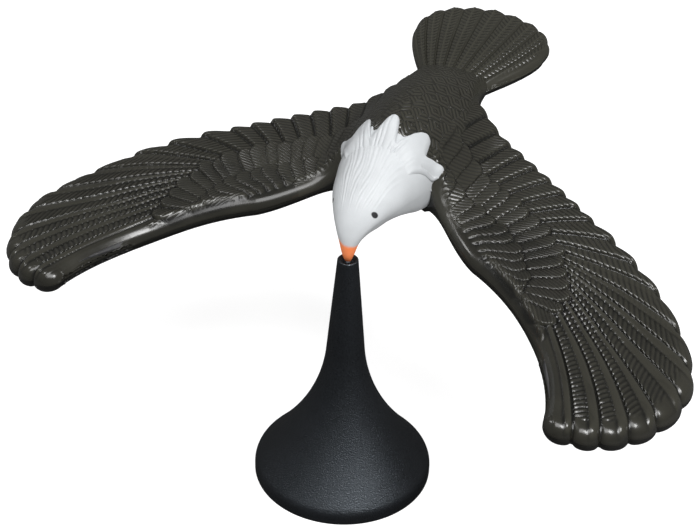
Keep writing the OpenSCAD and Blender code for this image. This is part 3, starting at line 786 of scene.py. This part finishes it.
# Head: the eagle's head, moulded with the body and painted by hand: white, with an orange beak and two small
# dark eyes. Soft wavy strands run back from the forehead over the crown, and the cheeks are smooth.
head_sections = np.array([
    [-0.8, 0.34, 0, 0.34, 0.82, 0.8, 0.34],
    [-1.2, 1.3, 0, 1.3, 1.22, 1.3, 1.3],
    [-1.7, 3, 0.1, 3, 1.8, 2, 3],
    [-1.9, 5.7, 0.4, 5.7, 2.6, 3.4, 5.2],
    [-1.4, 8.6, 1.2, 8, 3.8, 5.4, 5.9],
    [0.4, 12, 3.2, 10.1, 5.5, 8.2, 6.3],
    [3.4, 15.4, 6.4, 11.5, 7.4, 11.5, 7],
    [7.6, 18.3, 10.5, 12.2, 9.3, 15, 6.6],
    [13, 21, 15.5, 12.3, 10.8, 19, 5],
    [20, 24.4, 21.5, 12, 12.4, 24, 3],
    [27.5, 26.4, 28, 11.2, 13, 30, 2.4],
    [33, 25.4, 34, 11.2, 11, 35, 4.4]])


def through(values, t):
    """Smooth curve through a list of values, at fractional places along the list."""
    i = np.clip(np.floor(t).astype(int), 0, len(values) - 2)
    f = (t - i)[:, None]
    before = values[np.maximum(i - 1, 0)]
    after = values[np.minimum(i + 2, len(values) - 1)]
    a, b = values[i], values[i + 1]
    turn_in = 2 * before - 5 * a + 4 * b - after
    return a + 0.5 * f * (b - before + f * (turn_in + f * (3 * (a - b) + after - before)))


section_at = np.linspace(0, len(head_sections) - 1, 2000)
rings = through(head_sections, section_at)
pace = np.concatenate([[0], np.cumsum(np.hypot(np.diff(rings[:, 0]), np.diff(rings[:, 1])) + 0.004)])
rings = through(head_sections, np.interp(np.linspace(0, pace[-1], 230), pace, section_at))
around = 240
turn = np.linspace(0, 2 * np.pi, around, endpoint=False)[None]
upper = np.sin(turn) > 0
crown_y, crown_z, side_y, side_z, half, throat_y, throat_z = (rings[:, i:i + 1] for i in range(7))
fullness = np.where(upper, 1, mix(1, 0.6, ease(-1, 4, side_y)))
rise = np.abs(np.sin(turn)) ** fullness
x = half * np.sign(np.cos(turn)) * np.abs(np.cos(turn)) ** fullness
y = side_y + np.where(upper, crown_y - side_y, throat_y - side_y) * rise
z = side_z + np.where(upper, crown_z - side_z, throat_z - side_z) * rise


def strand_place(x, y):
    fan = 9 * x / (4.5 + 0.12 * y + 0.012 * y * y)
    return fan + 0.4 * np.sin(y / 2.6 + 0.35 * fan) + 0.25 * np.sin(1.7 * fan + y / 4.3)


strands = ease(1, 6, y) * np.where(upper, ease(0.6, 0.92, rise), 0)
head_spots = np.dstack([x, y, z]).reshape(-1, 3)
faces = []
for i in range(len(rings) - 1):
    a = i * around + np.arange(around)
    b = i * around + (np.arange(around) + 1) % around
    faces.append(np.stack([a, a + around, b + around, b], 1))
faces = np.concatenate(faces).tolist()
faces.append(list(range(around)))
faces.append(list(range((len(rings) - 1) * around, len(rings) * around))[::-1])
net = bpy.data.meshes.new("head_net")
net.from_pydata(((head_spots + [0, 0, pivot_height]) * mm).tolist(), [], faces)
net.polygons.foreach_set("use_smooth", np.ones(len(net.polygons), bool))
for label, values in (("vane", strand_place(x, y)), ("rope", strands)):
    layer = net.attributes.new(label, "FLOAT", "POINT").data
    layer.foreach_set("value", values.astype(np.float32).reshape(-1))

head_paint, tree, shader, grain = start_material("hand_painted_head", 2500.0, 160.0)
spot = put(tree, "ShaderNodeTexCoord").outputs["Object"]
place = put(tree, "ShaderNodeSeparateXYZ", {0: spot})
whites = [(0.3, (0.475, 0.492, 0.505)), (0.7, (0.525, 0.543, 0.557))]
beak_orange = (0.95, 0.26, 0.085, 1)
eye_grey = (0.02, 0.02, 0.022, 1)
eye_narrow = (800, 1400, 1150)
wander = math(tree, "MULTIPLY", math(tree, "SUBTRACT", grain.outputs["Drift"], 0.5), 2.2 * mm)
level = math(tree, "ADD", place.outputs[2], wander)
level = math(tree, "ADD", level, math(tree, "MULTIPLY", place.outputs[0], 0.15))
behind = math(tree, "MAXIMUM", math(tree, "SUBTRACT", place.outputs[1], 5 * mm), 0.0)
level = math(tree, "ADD", level, math(tree, "MULTIPLY", behind, 4.0))
beak = spread(tree, level, (pivot_height + 6.6) * mm, (pivot_height + 5.7) * mm, 0, 1)
colour = tinted(tree, beak, shade(tree, grain.outputs["Drift"], whites), beak_orange)
for eye_x, eye_y, eye_z in ((5.4, 3.9, 13.5), (-6.7, 6.2, 13.0)):
    middle = (eye_x * mm, eye_y * mm, (pivot_height + eye_z) * mm)
    away = put(tree, "ShaderNodeVectorMath", {0: spot, 1: middle}, operation="SUBTRACT").outputs[0]
    away = put(tree, "ShaderNodeVectorMath", {0: away, 1: eye_narrow}, operation="MULTIPLY").outputs[0]
    away = put(tree, "ShaderNodeVectorMath", {0: away}, operation="LENGTH").outputs["Value"]
    colour = tinted(tree, spread(tree, away, 1.1, 0.85, 0, 1), colour, eye_grey)
tree.links.new(colour, shader.inputs["Base Color"])
tree.links.new(spread(tree, grain.outputs["Grain"], 0.3, 0.7, 0.46, 0.58), shader.inputs["Roughness"])
shader.inputs["Specular IOR Level"].default_value = 0.3
bump(tree, shader, grain.outputs["Grain"], 0.02 * mm)

strand_depth = 0.21 * mm
head = shaped("head", net, barbing, {"Depth": strand_depth, "Material": head_paint})
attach(head, "bird")
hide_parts("upper_shell", "lower_shell")


# Hackle: the cape of long neck feathers, moulded as a thin raised layer on the nape and painted white with
# the head. It ends on the back in five blunt lobes, and its strands are the head's strands carried on.
cape_rows = 420
lobes = np.array([[0, 29.7], [1.1, 29.3], [1.8, 27.7], [3.5, 21.2], [5.2, 24.8], [7.4, 30.3], [8.4, 31.6],
                  [9.5, 31.2], [9.9, 29.7], [10.5, 25.2], [11.7, 26.8], [13.6, 28.6], [14.6, 28.9],
                  [15.2, 28.2], [14.6, 26.8], [12.8, 24.8], [11, 22.2]])
fan_middle = np.array([0, 2.0])
lobe_line = np.concatenate([lobes[:0:-1] * [-1, 1], lobes])
walked = np.concatenate([[0], np.cumsum(step_lengths(lobe_line))])
spread_out = np.linspace(0, walked[-1], cape_rows)
lobe_line = np.stack([np.interp(spread_out, walked, lobe_line[:, i]) for i in range(2)], 1)
blur_reach = 6
blur = np.exp(-(np.arange(-blur_reach, blur_reach + 1) / 3.2) ** 2)
blur = blur / blur.sum()
padded = np.pad(lobe_line, ((blur_reach, blur_reach), (0, 0)), mode="edge")
lobe_line = np.stack([np.convolve(padded[:, i], blur, "valid") for i in range(2)], 1)
lobe_round = 0.12 * (1 - np.sin(np.linspace(0, np.pi / 2, 16)))[1:]
depth_share = 1 - 0.58 * np.concatenate([np.linspace(1, 0.12, 60), lobe_round])
plan = fan_middle + depth_share[None, :, None] * (lobe_line - fan_middle)[:, None]
edge = edge_distance(plan, np.concatenate([mix(lobe_line[:-1], lobe_line[1:], t) for t in (0, 0.33, 0.67)]))
edge[:, -1] = 0
x, y = plan[..., 0], plan[..., 1]
skin = BVHTree.FromPolygons(head_spots.tolist(), faces)
hits = [skin.ray_cast(Vector((px, py, 60)), Vector((0, 0, -1)))[0] for px, py in plan.reshape(-1, 2)]
crown = np.array([hit.z if hit else np.nan for hit in hits]).reshape(x.shape)
crown = np.where(np.isnan(crown), 12 - 2.5 * (np.abs(x) - 12), crown)
back = seam_height(x, y) + half_thickness(x) + back_rise(x, y)
base = (crown + back + np.sqrt((crown - back) ** 2 + 5)) / 2
for _ in range(2):
    base = np.array([np.convolve(np.pad(row, blur_reach, mode="edge"), blur, "valid") for row in base]).T
from_side = np.arange(cape_rows)
side_fade = ease(4, 38, np.minimum(from_side, from_side[::-1]))[:, None]
risen = ease(11, 22, np.hypot(x, y - fan_middle[1])) * side_fade
lift = mix(-2.6, 0.7 + 0.6 * ease(10, 12.5, np.abs(x)), risen)
top = np.dstack([x, y, base - 0.5 + (lift + 0.5) * rounded(edge, 0.8)])
under = np.dstack([x, y, base - 3])[:, ::5]
grooves = [np.column_stack([plan[:, i], base[:, i] - 2]) for i in (0, -1)]
values = {"vane": strand_place(x, y), "rope": ease(0.3, 1.6, edge) * (1 - 0.85 * ease(4.5, 8, np.abs(x)))}
hackle = shaped("hackle", closed_piece("hackle", top, under, grooves, values, True), barbing,
                {"Depth": strand_depth, "Material": head_paint})
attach(hackle, "bird")
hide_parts("upper_shell")


# Studio: a plain pale floor that the camera sees as white, soft light from above with a softbox on each side,
# and a camera at the photograph's viewing angle. None of it is part of the toy.
floor_mesh = bpy.data.meshes.new("floor")
floor_mesh.from_pydata([(-4, -4, 0), (4, -4, 0), (4, 4, 0), (-4, 4, 0)], [], [(0, 1, 2, 3)])
floor = bpy.data.objects.new("floor", floor_mesh)
bpy.context.scene.collection.objects.link(floor)
floor_white, tree, shader, grain = start_material("pale_floor", 300.0, 3.0)
pale = shade(tree, grain.outputs["Drift"], [(0.3, (0.4, 0.4, 0.4)), (0.7, (0.42, 0.42, 0.42))])
shader.inputs["Roughness"].default_value = 0.9
shader.inputs["Emission Color"].default_value = (1, 1, 1, 1)
rays = put(tree, "ShaderNodeLightPath")
glow = spread(tree, rays.outputs["Is Camera Ray"], 0, 1, 0.3, 0.84)
matt = math(tree, "SUBTRACT", 1.0, rays.outputs["Is Glossy Ray"])
tree.links.new(math(tree, "MULTIPLY", glow, matt), shader.inputs["Emission Strength"])
# Painted reflection: in glossy rays the floor is dark along its middle and grey to each side, which gives the
# stand's neck lighter rims.
place = put(tree, "ShaderNodeSeparateXYZ", {0: put(tree, "ShaderNodeTexCoord").outputs["Object"]})
sides = spread(tree, math(tree, "ABSOLUTE", place.outputs[0]), 0.06, 0.3, 0, 1)
painted_reflection = shade(tree, sides, [(0, (0.03, 0.03, 0.03)), (1, (0.16, 0.16, 0.16))])
tree.links.new(tinted(tree, matt, painted_reflection, pale), shader.inputs["Base Color"])
floor_mesh.materials.append(floor_white)

world = bpy.data.worlds.new("studio")
world.use_nodes = True
tree = world.node_tree
seen = put(tree, "ShaderNodeLightPath").outputs["Is Camera Ray"]
tree.links.new(spread(tree, seen, 0, 1, 0.16, 1.0), tree.nodes["Background"].inputs[1])
tree.nodes["Background"].inputs[0].default_value = (1, 1, 1, 1)
bpy.context.scene.world = world


def softbox(name, place, aim, width, height, power):
    lamp = bpy.data.lights.new(name, "AREA")
    lamp.shape = "RECTANGLE"
    lamp.size = width
    lamp.size_y = height
    lamp.energy = power
    holder = bpy.data.objects.new(name, lamp)
    bpy.context.scene.collection.objects.link(holder)
    holder.location = place
    holder.rotation_euler = (Vector(aim) - Vector(place)).to_track_quat("-Z", "Y").to_euler()


softbox("overhead", (0.1, -0.42, 1.1), (0, 0.02, 0.06), 0.75, 0.6, 9)
softbox("key", (0.62, -0.22, 0.95), (0, 0, 0.05), 0.36, 0.36, 9)
softbox("side", (-0.6, -0.1, 0.85), (0, 0, 0.05), 0.16, 0.16, 1.2)

eye_place = Vector((0.1505, -0.3528, 0.3367))
forward = (Vector((0, 0, 0.07)) - eye_place).normalized()
right = forward.cross(Vector((0, 0, 1))).normalized()
above = right.cross(forward)
roll = np.radians(1.6)
right, above = right * np.cos(roll) + above * np.sin(roll), above * np.cos(roll) - right * np.sin(roll)
camera = bpy.data.objects.new("camera", bpy.data.cameras.new("camera"))
sensor_width = 36
focal_pixels = 1800
picture_width = 700
camera.data.lens = sensor_width * focal_pixels / picture_width
camera.data.shift_x = 0.003
camera.data.shift_y = -0.0071
camera.data.clip_start = 0.01
camera.matrix_world = Matrix.Translation(eye_place) @ Matrix((right, above, -forward)).transposed().to_4x4()
bpy.context.scene.collection.objects.link(camera)
bpy.context.scene.camera = camera
bpy.context.scene.view_settings.view_transform = "Standard"

bpy.context.view_layer.update()
